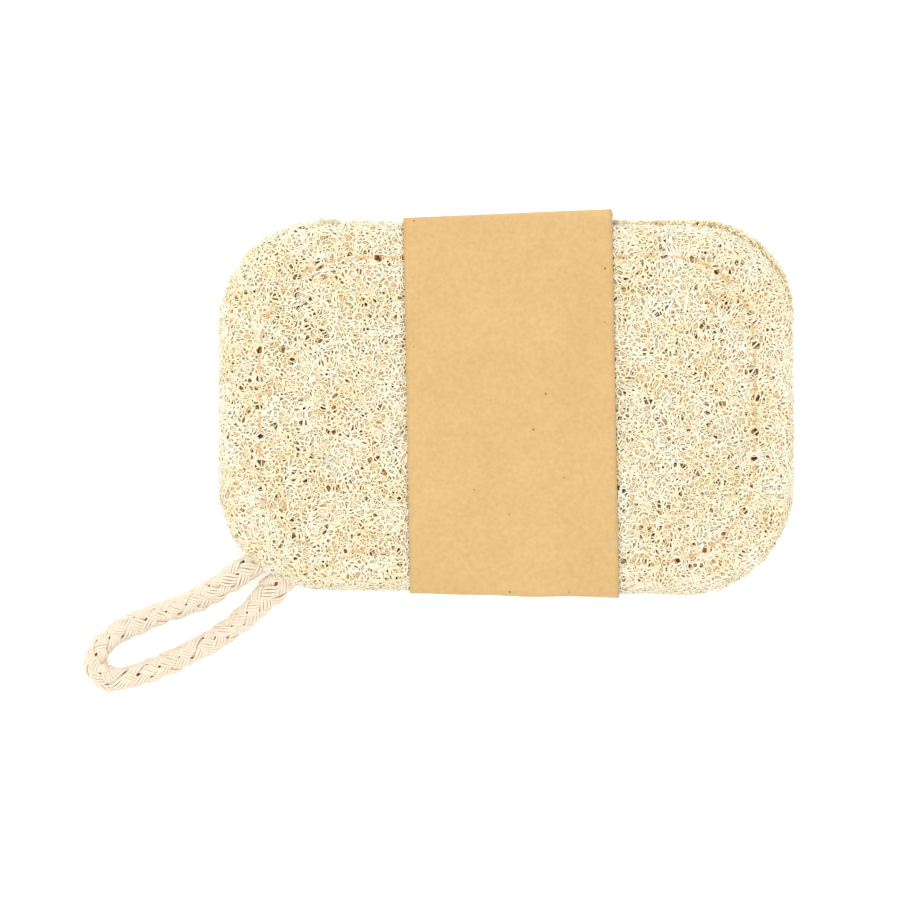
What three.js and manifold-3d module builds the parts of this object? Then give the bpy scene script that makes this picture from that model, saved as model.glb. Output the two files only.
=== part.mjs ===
// A flat natural loofah sponge: two layers of loofah net sewn together round the edge, a braided
// cotton cord loop caught in the seam at one corner, and a plain card sleeve round the middle.
// Millimetres, +Z up. It lies on z = 0, with the origin under the middle of the pad.

import * as THREE from "three";
import { mergeVertices } from "three/addons/utils/BufferGeometryUtils.js";
import Module from "manifold-3d";

const wasm = await Module();
wasm.setup();

// Heights above the surface that the sponge lies on
const MIDDLE = 5.85; // the plane where the two layers meet
const CLEARANCE = 0.3; // between neighbouring pieces

// The pad's outline over its fibres, seen from above
const PAD = {
  left: -59.7,
  right: 59.7,
  top: 37.7,
  bottomLeft: -38.4,
  bottomRight: -39.5,
  radii: { topRight: 20, topLeft: 21.9, bottomLeft: 20, bottomRight: 21.7 },
};
const BACK_TOP_RIGHT_RADIUS = 17.4; // the back layer's squarer corner shows behind the front one

// One layer of the pad: [inset from the outline, height above the middle plane], bottom to top
const EDGE_PROFILE = [
  [0.6, CLEARANCE / 2],
  [0.3, 1.2],
  [0.4, 2.5],
  [1.3, 3.4],
  [3.0, 3.85],
];
// The raised net: fibres that meet at the corners of a jittered triangular lattice, which is laid
// over the layer's top and down its sides, with a pit in each opening of the net
const FRONT_NET = { pitch: 5.8, seed: 11 };
const BACK_NET = { pitch: 6.9, seed: 29 };
const NET = {
  jitter: 0.3, // most shift of a corner, as a share of the pitch
  crest: [0.15, 0.74], // how far the corners stand proud of the layer's top
  sideShare: 0.4, // how much of that they stand proud of its sides
  lift: 0.8, // how much higher they may spring clear of the sleeve
  pit: [0.4, 0.95], // how deep the openings are
  pitShare: 0.66, // size of an opening's floor against the opening
  missing: 0.34, // share of the lattice's edges that carry no fibre
  mostMissing: 2, // at one corner
  overhang: 3, // how many pitches the lattice starts outside the outline
};
const NET_RIM = { travel: 0.2, margin: 1.6, crest: 0.1, bottomInset: 0.9 }; // its lower edge

// The seam: a trench pressed into both faces, with one thread lying in each
const SEAM = {
  left: -51.9,
  right: 51.9,
  top: 30.9,
  bottomLeft: -32.2,
  bottomRight: -33.2,
  radii: { topRight: 15, topLeft: 15, bottomLeft: 15, bottomRight: 15 },
};
const TRENCH = { width: 1.6, floor: 2.35, top: 8, cornerSteps: 8 };
const THREAD = { radius: 0.45, stitches: 51, perStitch: 3, low: 3.0, high: 4.0 };
const THREAD_SECTION = [
  [0, THREAD.radius],
  [THREAD.radius, -THREAD.radius / 2],
  [-THREAD.radius, -THREAD.radius / 2],
];

// The cord loop
const CORD_RADIUS = 2.35;
const CORD_SIDES = 10;
const CORD_STEPS = 44;
// From the end sewn in nearer the top of the pad, out, round the loop's tip and back in
const CORD_ROUTE = [
  [-43.6, -26.3, MIDDLE],
  [-46.0, -28.6, MIDDLE],
  [-49.2, -31.4, MIDDLE],
  [-53.0, -33.7, MIDDLE],
  [-57.9, -36.8, 5.3],
  [-63.2, -40.2, 3.7],
  [-68.0, -42.5, 2.7],
  [-73.2, -44.3, 2.42],
  [-78.6, -46.5, 2.4],
  [-83.2, -49.0, 2.4],
  [-86.4, -52.2, 2.4],
  [-86.9, -55.9, 2.4],
  [-84.2, -58.2, 2.4],
  [-79.8, -58.0, 2.4],
  [-74.0, -56.0, 2.4],
  [-67.8, -53.2, 2.4],
  [-61.8, -50.0, 2.45],
  [-56.6, -46.2, 2.9],
  [-52.0, -42.0, 4.1],
  [-48.0, -37.9, 5.4],
  [-44.6, -34.2, MIDDLE],
  [-41.6, -31.2, MIDDLE],
  [-39.0, -28.6, MIDDLE],
];

// The card sleeve, as a section across its middle; it widens a little from left to right
const CARD = 0.45; // thickness
const SLEEVE = {
  left: -20.85,
  right: 22.75,
  height: 2 * MIDDLE - CARD,
  halfLeft: 39,
  halfRight: 40.5,
  shiftLeft: -0.4,
  shiftRight: 0,
  turn: THREE.MathUtils.degToRad(1.05),
  fold: 1.4,
  foldSteps: 3,
};
const FLAP = { outerEnd: 8, innerEnd: -4 }; // where the two glued ends stop on the back
const SLEEVE_SIDE = 2.6; // how far from the sleeve's ends the fibres may arch up again

const FINISH = {
  loofahFront: { color: 0xece0c0, roughness: 0.9, metalness: 0 },
  loofahBack: { color: 0xe4d6b2, roughness: 0.9, metalness: 0 },
  thread: { color: 0xeccda5, roughness: 0.8, metalness: 0 },
  cotton: { color: 0xf3e6cf, roughness: 0.95, metalness: 0 },
  card: { color: 0xedc589, roughness: 0.85, metalness: 0 },
};

const WELD = 1e-3; // corners closer than this are one corner
const WELD_PASSES = 3; // enough for every sliver to come loose and be left out
const draw = THREE.MathUtils.seededRandom;

function drawBetween(low, high) {
  return low + (high - low) * draw();
}

// A rectangle with four rounded corners, pulled in by inset, counter-clockwise
function roundedOutline(outline, inset = 0) {
  const shape = new THREE.Shape();
  for (const corner of cornersOf(outline)) {
    const start = corner.quarter * (Math.PI / 2);
    shape.absarc(
      corner.centre.x,
      corner.centre.y,
      corner.radius - inset,
      start,
      start + Math.PI / 2,
      false,
    );
  }
  shape.closePath();
  return shape;
}

function cornersOf({ left, right, top, bottomLeft, bottomRight, radii }) {
  const corner = (x, y, radius, quarter) => ({
    centre: new THREE.Vector2(x, y),
    radius,
    quarter,
    outX: quarter === 0 || quarter === 3 ? 1 : -1,
    outY: quarter < 2 ? 1 : -1,
  });
  return [
    corner(right - radii.topRight, top - radii.topRight, radii.topRight, 0),
    corner(left + radii.topLeft, top - radii.topLeft, radii.topLeft, 1),
    corner(left + radii.bottomLeft, bottomLeft + radii.bottomLeft, radii.bottomLeft, 2),
    corner(right - radii.bottomRight, bottomRight + radii.bottomRight, radii.bottomRight, 3),
  ];
}

// How far a plan point lies inside an outline, and which way is out from there
function edgeNear(outline, x, y) {
  for (const { centre, radius, outX, outY } of cornersOf(outline)) {
    const away = new THREE.Vector2(x - centre.x, y - centre.y);
    if (away.x * outX > 0 && away.y * outY > 0) {
      return { depth: radius - away.length(), out: away.normalize() };
    }
  }
  const share = (x - outline.left) / (outline.right - outline.left);
  const bottom = THREE.MathUtils.lerp(outline.bottomLeft, outline.bottomRight, share);
  const sides = [
    { depth: outline.right - x, out: new THREE.Vector2(1, 0) },
    { depth: x - outline.left, out: new THREE.Vector2(-1, 0) },
    { depth: outline.top - y, out: new THREE.Vector2(0, 1) },
    { depth: y - bottom, out: new THREE.Vector2(0, -1) },
  ];
  return sides.reduce((nearest, side) => (side.depth < nearest.depth ? side : nearest));
}

// A geometry as a solid for joining and cutting
function toSolid(geometry) {
  const bare = geometry.clone();
  bare.deleteAttribute("normal");
  bare.deleteAttribute("uv");
  const merged = mergeVertices(bare, WELD);
  return new wasm.Manifold(
    new wasm.Mesh({
      numProp: 3,
      vertProperties: merged.attributes.position.array,
      triVerts: new Uint32Array(merged.index.array),
    }),
  );
}

// The largest body of a solid as a geometry, which leaves out loose scraps and sealed hollows
function largestBody(solid) {
  const bodies = solid.decompose();
  const largest = bodies.reduce((most, body) => (body.volume() > most.volume() ? body : most));
  const mesh = largest.getMesh();
  const geometry = new THREE.BufferGeometry();
  geometry.setAttribute("position", new THREE.BufferAttribute(mesh.vertProperties, 3));
  geometry.setIndex(new THREE.BufferAttribute(mesh.triVerts, 1));
  return geometry;
}

// A joined or cut solid as a geometry, welded until no sliver comes loose
function toGeometry(solid) {
  let geometry = largestBody(solid);
  for (let pass = 0; pass < WELD_PASSES; pass += 1) {
    geometry = largestBody(toSolid(geometry));
  }
  return geometry;
}

// Turns a piece made for the front layer over, for the back one
function turnedOver(geometry) {
  const turned = geometry.clone().scale(1, 1, -1);
  const corners = turned.index.array;
  for (let i = 0; i < corners.length; i += 3) {
    [corners[i + 1], corners[i + 2]] = [corners[i + 2], corners[i + 1]];
  }
  return turned;
}

// The length of the edge profile from the flat top to the bottom
function profileLength() {
  let length = 0;
  for (let i = 1; i < EDGE_PROFILE.length; i += 1) {
    const [inset, height] = EDGE_PROFILE[i];
    const [lowerInset, lowerHeight] = EDGE_PROFILE[i - 1];
    length += Math.hypot(lowerInset - inset, lowerHeight - height);
  }
  return length;
}

// The point of a layer's surface for a plan point, which runs on round the edge and down the
// side past the flat top, raised along the surface's own normal
function surfacePoint(outline, plan, rise) {
  const { depth, out } = edgeNear(outline, plan.x, plan.y);
  const top = EDGE_PROFILE.length - 1;
  const [topInset, topHeight] = EDGE_PROFILE[top];
  if (depth >= topInset) {
    return new THREE.Vector3(plan.x, plan.y, topHeight + rise);
  }
  let travel = topInset - depth;
  let i = top;
  let length = 0;
  for (; i > 0; i -= 1) {
    const [inset, height] = EDGE_PROFILE[i];
    const [lowerInset, lowerHeight] = EDGE_PROFILE[i - 1];
    length = Math.hypot(lowerInset - inset, lowerHeight - height);
    if (travel <= length || i === 1) {
      break;
    }
    travel -= length;
  }
  const [inset, height] = EDGE_PROFILE[i];
  const [lowerInset, lowerHeight] = EDGE_PROFILE[i - 1];
  const share = travel / length;
  const outward = (height - lowerHeight) / length;
  const upward = (inset - lowerInset) / length;
  const reach = depth - THREE.MathUtils.lerp(inset, lowerInset, share) + outward * rise;
  return new THREE.Vector3(
    plan.x + out.x * reach,
    plan.y + out.y * reach,
    THREE.MathUtils.lerp(height, lowerHeight, share) + upward * rise,
  );
}

// 0 under the sleeve, where the net is pressed flat, rising to 1 clear of it
function freeOfSleeve(x) {
  const past = Math.max(SLEEVE.left - x, x - SLEEVE.right) - SLEEVE_SIDE;
  return THREE.MathUtils.smoothstep(past, 0, SLEEVE_SIDE * 2);
}

// One corner of the net; those past the foot of the side are drawn back onto the rim
function netCorner(outline, x, y, pitch) {
  const topInset = EDGE_PROFILE[EDGE_PROFILE.length - 1][0];
  const rimTravel = profileLength() - NET_RIM.travel;
  const shift = NET.jitter * pitch;
  const plan = new THREE.Vector2(x + drawBetween(-shift, shift), y + drawBetween(-shift, shift));
  const pressed = drawBetween(...NET.crest);
  const spring = drawBetween(0, NET.lift);
  const { depth, out } = edgeNear(outline, x, y);
  const travel = topInset - depth;
  if (travel > rimTravel - NET_RIM.margin) {
    const rim = new THREE.Vector2(x, y).addScaledVector(out, rimTravel - travel);
    return { plan: rim, out, isRim: true, rise: NET_RIM.crest, gaps: 0 };
  }
  const isOnTop = edgeNear(outline, plan.x, plan.y).depth > topInset;
  const rise = isOnTop ? pressed + spring * freeOfSleeve(plan.x) : pressed * NET.sideShare;
  return { plan, out, isRim: false, rise, gaps: 0 };
}

// The lattice's corners in rows, shifted by half a pitch in every second row
function netCorners(outline, { pitch, seed }) {
  draw(seed);
  const margin = NET.overhang * pitch;
  const rowStep = (pitch * Math.sqrt(3)) / 2;
  const rowCount = Math.ceil((outline.top - outline.bottomRight + 2 * margin) / rowStep);
  const columnCount = Math.ceil((outline.right - outline.left + 2 * margin) / pitch);
  const rows = [];
  for (let row = 0; row < rowCount; row += 1) {
    const y = outline.bottomRight - margin + row * rowStep;
    const line = [];
    for (let column = 0; column < columnCount; column += 1) {
      const x = outline.left - margin + (column + (row % 2) / 2) * pitch;
      line.push(netCorner(outline, x, y, pitch));
    }
    rows.push(line);
  }
  return rows;
}

// The lattice's triangles, each with its three corners counter-clockwise, down to the rim
function netCells(rows) {
  const cells = [];
  const add = (...corners) => {
    if (corners.some((corner) => !corner.isRim)) {
      cells.push({ corners, floor: [] });
    }
  };
  for (let row = 0; row + 1 < rows.length; row += 1) {
    const [low, high] = [rows[row], rows[row + 1]];
    for (let i = 0; i + 1 < low.length; i += 1) {
      if (row % 2 === 0) {
        add(low[i], low[i + 1], high[i]);
        add(low[i + 1], high[i + 1], high[i]);
      } else {
        add(low[i], low[i + 1], high[i + 1]);
        add(low[i], high[i + 1], high[i]);
      }
    }
  }
  return cells;
}

// The lattice's edges, each with the cell on its left and, inside the rim, the one on its right
function netEdges(cells) {
  const edges = new Map();
  for (const cell of cells) {
    cell.corners.forEach((from, i) => {
      const to = cell.corners[(i + 1) % cell.corners.length];
      const known = edges.get(to)?.get(from);
      if (known) {
        known.right = cell;
      } else {
        edges.set(from, edges.get(from) ?? new Map());
        edges.get(from).set(to, { from, to, left: cell, right: null });
      }
    });
  }
  return [...edges.values()].flatMap((fromHere) => [...fromHere.values()]);
}

// Leaves fibres out at random, so that the net's openings differ in size and shape
function leaveOut(edges) {
  for (const edge of edges) {
    const { from, to, left, right } = edge;
    const isInside = right && !from.isRim && !to.isRim;
    const isFull = Math.max(from.gaps, to.gaps) >= NET.mostMissing || left.isOpen || right?.isOpen;
    edge.isMissing = draw() < NET.missing && isInside && !isFull;
    if (edge.isMissing) {
      from.gaps += 1;
      to.gaps += 1;
      left.isOpen = true;
      right.isOpen = true;
    }
  }
}

// Points and faces gathered while a surface is built
class Surface {
  points = [];
  faces = [];

  add(point) {
    this.points.push(point);
    return this.points.length - 1;
  }

  face(...corners) {
    for (let i = 1; i + 1 < corners.length; i += 1) {
      this.faces.push(corners[0], corners[i], corners[i + 1]);
    }
  }

  geometry() {
    return new THREE.BufferGeometry().setFromPoints(this.points).setIndex(this.faces);
  }
}

// Gives every corner of the net its crest and every opening its sunken floor
function addPits(surface, outline, cells) {
  for (const cell of cells) {
    const centre = new THREE.Vector2();
    cell.corners.forEach(({ plan }) => centre.addScaledVector(plan, 1 / cell.corners.length));
    const pit = drawBetween(...NET.pit);
    cell.floor = cell.corners.map(({ plan }) => {
      const floorPlan = centre.clone().lerp(plan, NET.pitShare);
      return surface.add(surfacePoint(outline, floorPlan, -pit));
    });
    for (const corner of cell.corners) {
      corner.crest ??= surface.add(surfacePoint(outline, corner.plan, corner.rise));
    }
    surface.face(...cell.floor);
  }
}

// Raises a fibre along each edge of the net, or joins the two floors where it has none
function addFibres(surface, edges) {
  const floorAt = (cell, corner) => cell.floor[cell.corners.indexOf(corner)];
  for (const { from, to, left, right, isMissing } of edges) {
    const [leftFrom, leftTo] = [floorAt(left, from), floorAt(left, to)];
    if (!right) {
      surface.face(from.crest, to.crest, leftTo, leftFrom);
      continue;
    }
    const [rightFrom, rightTo] = [floorAt(right, from), floorAt(right, to)];
    if (isMissing) {
      surface.face(from.crest, rightFrom, leftFrom);
      surface.face(to.crest, leftTo, rightTo);
      surface.face(rightFrom, rightTo, leftTo, leftFrom);
    } else {
      surface.face(from.crest, to.crest, leftTo, leftFrom);
      surface.face(to.crest, from.crest, rightFrom, rightTo);
    }
  }
}

// The corners round the foot of the net, counter-clockwise
function rimCorners(edges) {
  const outer = edges.filter(({ right }) => !right);
  const after = new Map(outer.map(({ from, to }) => [from, to]));
  const rim = [outer[0].from];
  while (after.get(rim[rim.length - 1]) !== rim[0]) {
    rim.push(after.get(rim[rim.length - 1]));
  }
  return rim;
}

// Closes a layer under its rim with a flat face on the middle plane
function addBottom(surface, outline, rim) {
  const [, bottomHeight] = EDGE_PROFILE[0];
  const foot = rim.map(({ plan, out }) => {
    const { depth } = edgeNear(outline, plan.x, plan.y);
    return plan.clone().addScaledVector(out, depth - NET_RIM.bottomInset);
  });
  const bottom = foot.map(({ x, y }) => surface.add(new THREE.Vector3(x, y, bottomHeight)));
  rim.forEach(({ crest }, i) => {
    const next = (i + 1) % rim.length;
    surface.face(bottom[i], bottom[next], rim[next].crest, crest);
  });
  for (const [a, b, c] of THREE.ShapeUtils.triangulateShape(foot, [])) {
    surface.face(bottom[a], bottom[c], bottom[b]);
  }
}

// One layer as a closed solid: the net with its pits, and a flat bottom inside its rim
function layerBody(outline, net) {
  const cells = netCells(netCorners(outline, net));
  const edges = netEdges(cells);
  leaveOut(edges);
  const surface = new Surface();
  addPits(surface, outline, cells);
  addFibres(surface, edges);
  addBottom(surface, outline, rimCorners(edges));
  return surface.geometry();
}

// The trench that the seam presses into a layer
function trenchCutter() {
  const band = roundedOutline(SEAM, -TRENCH.width / 2);
  band.holes.push(roundedOutline(SEAM, TRENCH.width / 2));
  const geometry = new THREE.ExtrudeGeometry(band, {
    depth: TRENCH.top - TRENCH.floor,
    bevelEnabled: false,
    curveSegments: TRENCH.cornerSteps,
  });
  return geometry.translate(0, 0, TRENCH.floor);
}

// A round bar along the cord's route
function cordBar(radius) {
  const route = new THREE.CatmullRomCurve3(CORD_ROUTE.map((at) => new THREE.Vector3(...at)));
  const section = new THREE.Shape();
  for (let side = 0; side < CORD_SIDES; side += 1) {
    const turn = (side / CORD_SIDES) * 2 * Math.PI;
    const corner = [radius * Math.cos(turn), radius * Math.sin(turn)];
    if (side === 0) {
      section.moveTo(...corner);
    } else {
      section.lineTo(...corner);
    }
  }
  return new THREE.ExtrudeGeometry(section, { steps: CORD_STEPS, extrudePath: route });
}

// One layer with its seam trench, face up on the middle plane, before it is put in its place
function layer(outline, net) {
  return toGeometry(toSolid(layerBody(outline, net)).subtract(toSolid(trenchCutter())));
}

function withoutCord(geometry) {
  return toGeometry(toSolid(geometry).subtract(toSolid(cordBar(CORD_RADIUS + CLEARANCE))));
}

function loofahFront() {
  return withoutCord(layer(PAD, FRONT_NET).translate(0, 0, MIDDLE));
}

function loofahBack() {
  const outline = { ...PAD, radii: { ...PAD.radii, topRight: BACK_TOP_RIGHT_RADIUS } };
  return withoutCord(turnedOver(layer(outline, BACK_NET)).translate(0, 0, MIDDLE));
}

// A thread ring in its trench: it lies on the face between holes and dips into each hole
function threadRing() {
  const count = THREAD.stitches * THREAD.perStitch;
  const route = roundedOutline(SEAM).getSpacedPoints(count).slice(0, -1);
  const surface = new Surface();
  const sections = route.map((plan, i) => {
    const { out } = edgeNear(SEAM, plan.x, plan.y);
    const height = i % THREAD.perStitch === 0 ? THREAD.low : THREAD.high;
    return THREAD_SECTION.map(([across, up]) =>
      surface.add(new THREE.Vector3(plan.x + out.x * across, plan.y + out.y * across, height + up)),
    );
  });
  sections.forEach((section, i) => {
    const next = sections[(i + 1) % sections.length];
    section.forEach((corner, side) => {
      const beside = (side + 1) % section.length;
      surface.face(corner, section[beside], next[beside], next[side]);
    });
  });
  return surface.geometry();
}

function needleThread() {
  return threadRing().translate(0, 0, MIDDLE);
}

function bobbinThread() {
  return turnedOver(threadRing()).translate(0, 0, MIDDLE);
}

// Adds one rounded fold to a sleeve outline
function addFold(path, x, y, radius, quarter) {
  for (let step = 0; step <= SLEEVE.foldSteps; step += 1) {
    const turn = (quarter + step / SLEEVE.foldSteps) * (Math.PI / 2);
    path.push(new THREE.Vector2(x + radius * Math.cos(turn), y + radius * Math.sin(turn)));
  }
}

// The sleeve's section across the pad; the flap's end makes a step of one thickness
function sleeveSection() {
  const half = (SLEEVE.halfLeft + SLEEVE.halfRight) / 2;
  const wall = (inset, low, stepAt) => {
    const points = [];
    const radius = SLEEVE.fold - inset;
    const side = half - inset - radius;
    const ceiling = SLEEVE.height - inset - radius;
    addFold(points, side, ceiling, radius, 0);
    addFold(points, -side, ceiling, radius, 1);
    addFold(points, -side, low + radius, radius, 2);
    points.push(new THREE.Vector2(stepAt, low));
    points.push(new THREE.Vector2(stepAt, low + CARD));
    addFold(points, side, low + CARD + radius, radius, 3);
    return points;
  };
  const section = new THREE.Shape(wall(0, 0, FLAP.outerEnd));
  section.holes.push(new THREE.Path(wall(CARD, CARD, FLAP.innerEnd)));
  return section;
}

function cardSleeve() {
  const length = SLEEVE.right - SLEEVE.left;
  const half = (SLEEVE.halfLeft + SLEEVE.halfRight) / 2;
  const settings = { depth: length, bevelEnabled: false };
  const geometry = new THREE.ExtrudeGeometry(sleeveSection(), settings);
  const place = geometry.attributes.position;
  for (let i = 0; i < place.count; i += 1) {
    const share = place.getZ(i) / length;
    const widening = THREE.MathUtils.lerp(SLEEVE.halfLeft, SLEEVE.halfRight, share) / half;
    const shift = THREE.MathUtils.lerp(SLEEVE.shiftLeft, SLEEVE.shiftRight, share);
    const y = place.getX(i) * widening + shift;
    const x = SLEEVE.left + share * length - y * Math.tan(SLEEVE.turn);
    place.setXYZ(i, x, y, place.getY(i));
  }
  return geometry;
}

function named(name, geometry, finish) {
  const material = new THREE.MeshStandardMaterial(finish);
  geometry.computeVertexNormals();
  const mesh = new THREE.Mesh(geometry, material);
  mesh.name = name;
  return mesh;
}

const sponge = new THREE.Group();
sponge.add(
  named("loofah_front", loofahFront(), FINISH.loofahFront),
  named("loofah_back", loofahBack(), FINISH.loofahBack),
  named("needle_thread", needleThread(), FINISH.thread),
  named("bobbin_thread", bobbinThread(), FINISH.thread),
  named("cord_loop", cordBar(CORD_RADIUS), FINISH.cotton),
  named("card_sleeve", cardSleeve(), FINISH.card),
);

export default sponge;
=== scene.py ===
import math
from functools import partial

import bpy
import numpy as np
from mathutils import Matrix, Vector
from mathutils.geometry import delaunay_2d_cdt


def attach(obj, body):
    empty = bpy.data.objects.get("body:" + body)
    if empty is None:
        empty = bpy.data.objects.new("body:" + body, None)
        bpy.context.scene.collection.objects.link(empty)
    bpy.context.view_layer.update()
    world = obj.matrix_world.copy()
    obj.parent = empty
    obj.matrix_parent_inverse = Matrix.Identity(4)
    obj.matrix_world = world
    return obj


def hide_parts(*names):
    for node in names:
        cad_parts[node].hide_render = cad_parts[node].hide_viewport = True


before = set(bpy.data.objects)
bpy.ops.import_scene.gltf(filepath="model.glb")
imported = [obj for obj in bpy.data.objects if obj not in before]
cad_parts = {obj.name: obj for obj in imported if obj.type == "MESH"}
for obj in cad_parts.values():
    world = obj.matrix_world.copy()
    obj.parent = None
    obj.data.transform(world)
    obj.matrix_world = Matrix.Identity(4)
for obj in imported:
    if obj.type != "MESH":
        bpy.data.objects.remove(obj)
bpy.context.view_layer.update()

MM = 0.001
BODY = "root"

# The camera looks straight down. The photograph's frame is this wide at the top of the pad.
FRAME_WIDTH = 187.8 * MM
TOP_OF_PAD = 11.2 * MM
LENS = 100.0
SENSOR = 36.0
VIEW_CENTRE = (-11.8 * MM, -9.8 * MM)

# The plane where the two loofah layers meet
MIDDLE = 5.85

# The pad's outline over its fibres, in millimetres
PAD = {
    "left": -60.4, "right": 60.4,
    "top_left": 38.5, "top_right": 37.3,
    "bottom_left": -39.0, "bottom_right": -40.2,
    "top_right_radius": 21.3, "top_left_radius": 21.9,
    "bottom_left_radius": 22.0, "bottom_right_radius": 23.0,
}
BACK_PAD = dict(PAD, top_left=38.3, top_right=38.4, top_right_radius=19.5)
SEAM = {
    "left": -51.6, "right": 51.9,
    "top_left": 30.5, "top_right": 30.8,
    "bottom_left": -30.9, "bottom_right": -33.6,
    "top_right_radius": 18.0, "top_left_radius": 20.0,
    "bottom_left_radius": 16.5, "bottom_right_radius": 20.7,
}

# A layer's skin: how high its top stands over the middle plane, and its rounded edge
PRESSED_HEIGHT = 4.7
EDGE_REACH = 2.5
EDGE_BASE = 0.6
EDGE_TURN = math.radians(100)
EDGE_LENGTH = 5.4
EDGE_OVERRUN = EDGE_LENGTH - EDGE_REACH
RIM_BULGE = 0.16
SEAM_DIP = 0.6
SEAM_WIDTH = 1.4
PRESSED_DIP = 0.35

# The net's cells: their rows and columns over their spacing, how far they stray and are pulled
# out of shape, the share left out, and their size outside the seam and under the sleeve
CELL_ROWS, CELL_COLUMNS = 0.93, 1.075
CELL_JITTER = 0.48
CELL_STRETCH = 0.45
CELLS_LEFT_OUT = 0.1
LONGEST_CELL = 9
OUTER_CELL = 0.84
HIDDEN_CELL = 3.2

# Pores: how many, and their smallest and largest radius. The lower net has only some wide ones.
WIDE_PORES = (130, 0.3, 0.7)
SMALL_PORES = (1300, 0.14, 0.34)
DEEP_PORES = 60

# How much deeper in tone a strand's lower corners are than its ridge, as painted shade under each
# strand
FLANK_SHADE = 0.2

# The corners of a three-sided strand's faces: 0 to 2 at its start, 3 to 5 at its end
STRAND_FACES = [(0, 1, 4), (0, 4, 3), (1, 2, 5), (1, 5, 4), (2, 0, 3), (2, 3, 5)]

# Loose ends round the edge, and the tuft at the top of the front layer
FRINGE_COUNT = 420
FRINGE_BAND = 2.2
TUFT_COUNT = 70
TUFT_MIDDLE = -37.3
TUFT_SPREAD = 1.1
TUFT_BAND = (37.8, 40.4)

# The back layer's rim fibres, which are denser where it stands out past the front layer
RIM_FIBRES = 2200
DENSE_RIM_FIBRES = 800
DENSE_RIM_SHARE = 0.22
CORD_CLEARANCE = 3.2

# The inner mass of a layer, and its tones over the top, at the rim and down the wall: its brown
# over the top is painted shade, and the paler rim and wall are painted light against the shade
# round the edge
CORE_DEPTH = 1.0
CORE_PITCH = 1.6
CORE_FLOOR = 0.12
CORE_TONE = 1.9
CORE_RIM_TONE = 0.5
CORE_WALL_TONE = 0.35

# The seam's stitches, which drift back along it, most of all at DRIFT_PEAK of its length
STITCHES = 51
STITCH_SHIFT = 1.0
STITCH_JITTER = 0.08
STITCH_DRIFT = 0.8
DRIFT_PEAK = 0.87
NEEDLE_HOLE = 0.62
THREAD_RADIUS = 0.36
THREAD_TWIST = 1.3
THREAD_PROUD = 0.16
DIVE_DEPTH = 1.6
DIVE_SHARE = 0.13

# The radius, drop and tone of a needle hole's mouth and of its floor; their dark tones are painted
# shade
FUNNEL = [(0.62, 0.36, 1.5), (0.36, 0.95, 2.4)]

# The card sleeve
CARD = 0.45
SLEEVE_LEFT = -20.85
SLEEVE_RIGHT = 22.75
SLEEVE_HEIGHT = 2 * MIDDLE - CARD
SLEEVE_HALF = (39.35, 40.7)
SLEEVE_SHIFT = (-0.55, -0.05)
SLEEVE_TURN = math.radians(1.05)
SLEEVE_FOLD = 1.4
SLEEVE_COLUMNS = 44
FLAP_OUTER_END = 8.0
FLAP_INNER_END = -4.0
# It presses the net this far past its sides, and from there the net rises over this width
SLEEVE_GRIP = 0.8
SLEEVE_EASE = 6.0

# The cord: the same route as the CAD bar, in millimetres
CORD_ROUTE = [
    (-43.6, -26.3, MIDDLE), (-46.0, -28.6, MIDDLE), (-49.2, -31.4, MIDDLE),
    (-53.0, -33.7, MIDDLE), (-57.9, -36.8, 5.3), (-63.2, -40.2, 3.7),
    (-68.0, -42.5, 2.7), (-73.2, -44.3, 2.42), (-78.6, -46.5, 2.4),
    (-83.2, -49.0, 2.4), (-86.4, -52.2, 2.4), (-86.9, -55.9, 2.4),
    (-84.2, -58.2, 2.4), (-79.8, -58.0, 2.4), (-74.0, -56.0, 2.4),
    (-67.8, -53.2, 2.4), (-61.8, -50.0, 2.45), (-56.6, -46.2, 2.9),
    (-52.0, -42.0, 4.1), (-48.0, -37.9, 5.4), (-44.6, -34.2, MIDDLE),
    (-41.6, -31.2, MIDDLE), (-39.0, -28.6, MIDDLE),
]

# Colours in sRGB, 0 to 255. A layer's five go from its outermost fibres down to its holes,
# darkening with depth: partly the fibres' own tan and partly painted shade down in the net, and
# the browns at the end are painted shade in the core and the needle holes.
LOOFAH_COLOURS = {
    "front": [(236, 232, 217), (236, 228, 204), (230, 207, 165), (186, 124, 60), (104, 52, 18)],
    # The back's colours are lighter than the front's, as painted light against the shade where its
    # rim lies below the front layer's edge.
    "back": [(250, 243, 222), (252, 241, 214), (242, 217, 172), (190, 137, 82), (92, 48, 18)],
}
LOOFAH_STOPS = [0.0, 0.07, 0.16, 0.4, 0.8]
LOOFAH_TINT = (250, 243, 223)
DEEPEST = 3.0
COTTON = [(229, 217, 199), (220, 205, 182)]
# The cord's inner yarns are coloured dark brown as painted shade in the braid's gaps.
CORD_CORE_SHADE = [(138, 98, 64), (105, 70, 42)]
THREAD = [(220, 191, 147), (201, 166, 121)]
KRAFT = [(201, 166, 112), (206, 171, 118)]
# The inner sheet's colour is painted shade: the card is the same brown on both sides.
KRAFT_INSIDE_SHADE = (104, 80, 60)

# The floor and the light, which is aimed at the pad
FLOOR_HALF = 1.5
FLOOR_DROP = 0.0002
FLOOR_GLOW = 0.35
SKY_STRENGTH = 1.26
KEY_POWER = 1.38
KEY_WIDTH = 0.35
KEY_PLACE = (-0.17, 0.17, 0.68)
KEY_TURN = (math.radians(-13.6), math.radians(-14), 0)


def add_camera():
    distance = FRAME_WIDTH * LENS / SENSOR
    data = bpy.data.cameras.new("camera")
    data.lens = LENS
    data.sensor_width = SENSOR
    data.clip_start = 0.01
    data.clip_end = 10.0
    camera = bpy.data.objects.new("camera", data)
    camera.location = (*VIEW_CENTRE, TOP_OF_PAD + distance)
    bpy.context.scene.collection.objects.link(camera)
    bpy.context.scene.camera = camera


# Meshes


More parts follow.
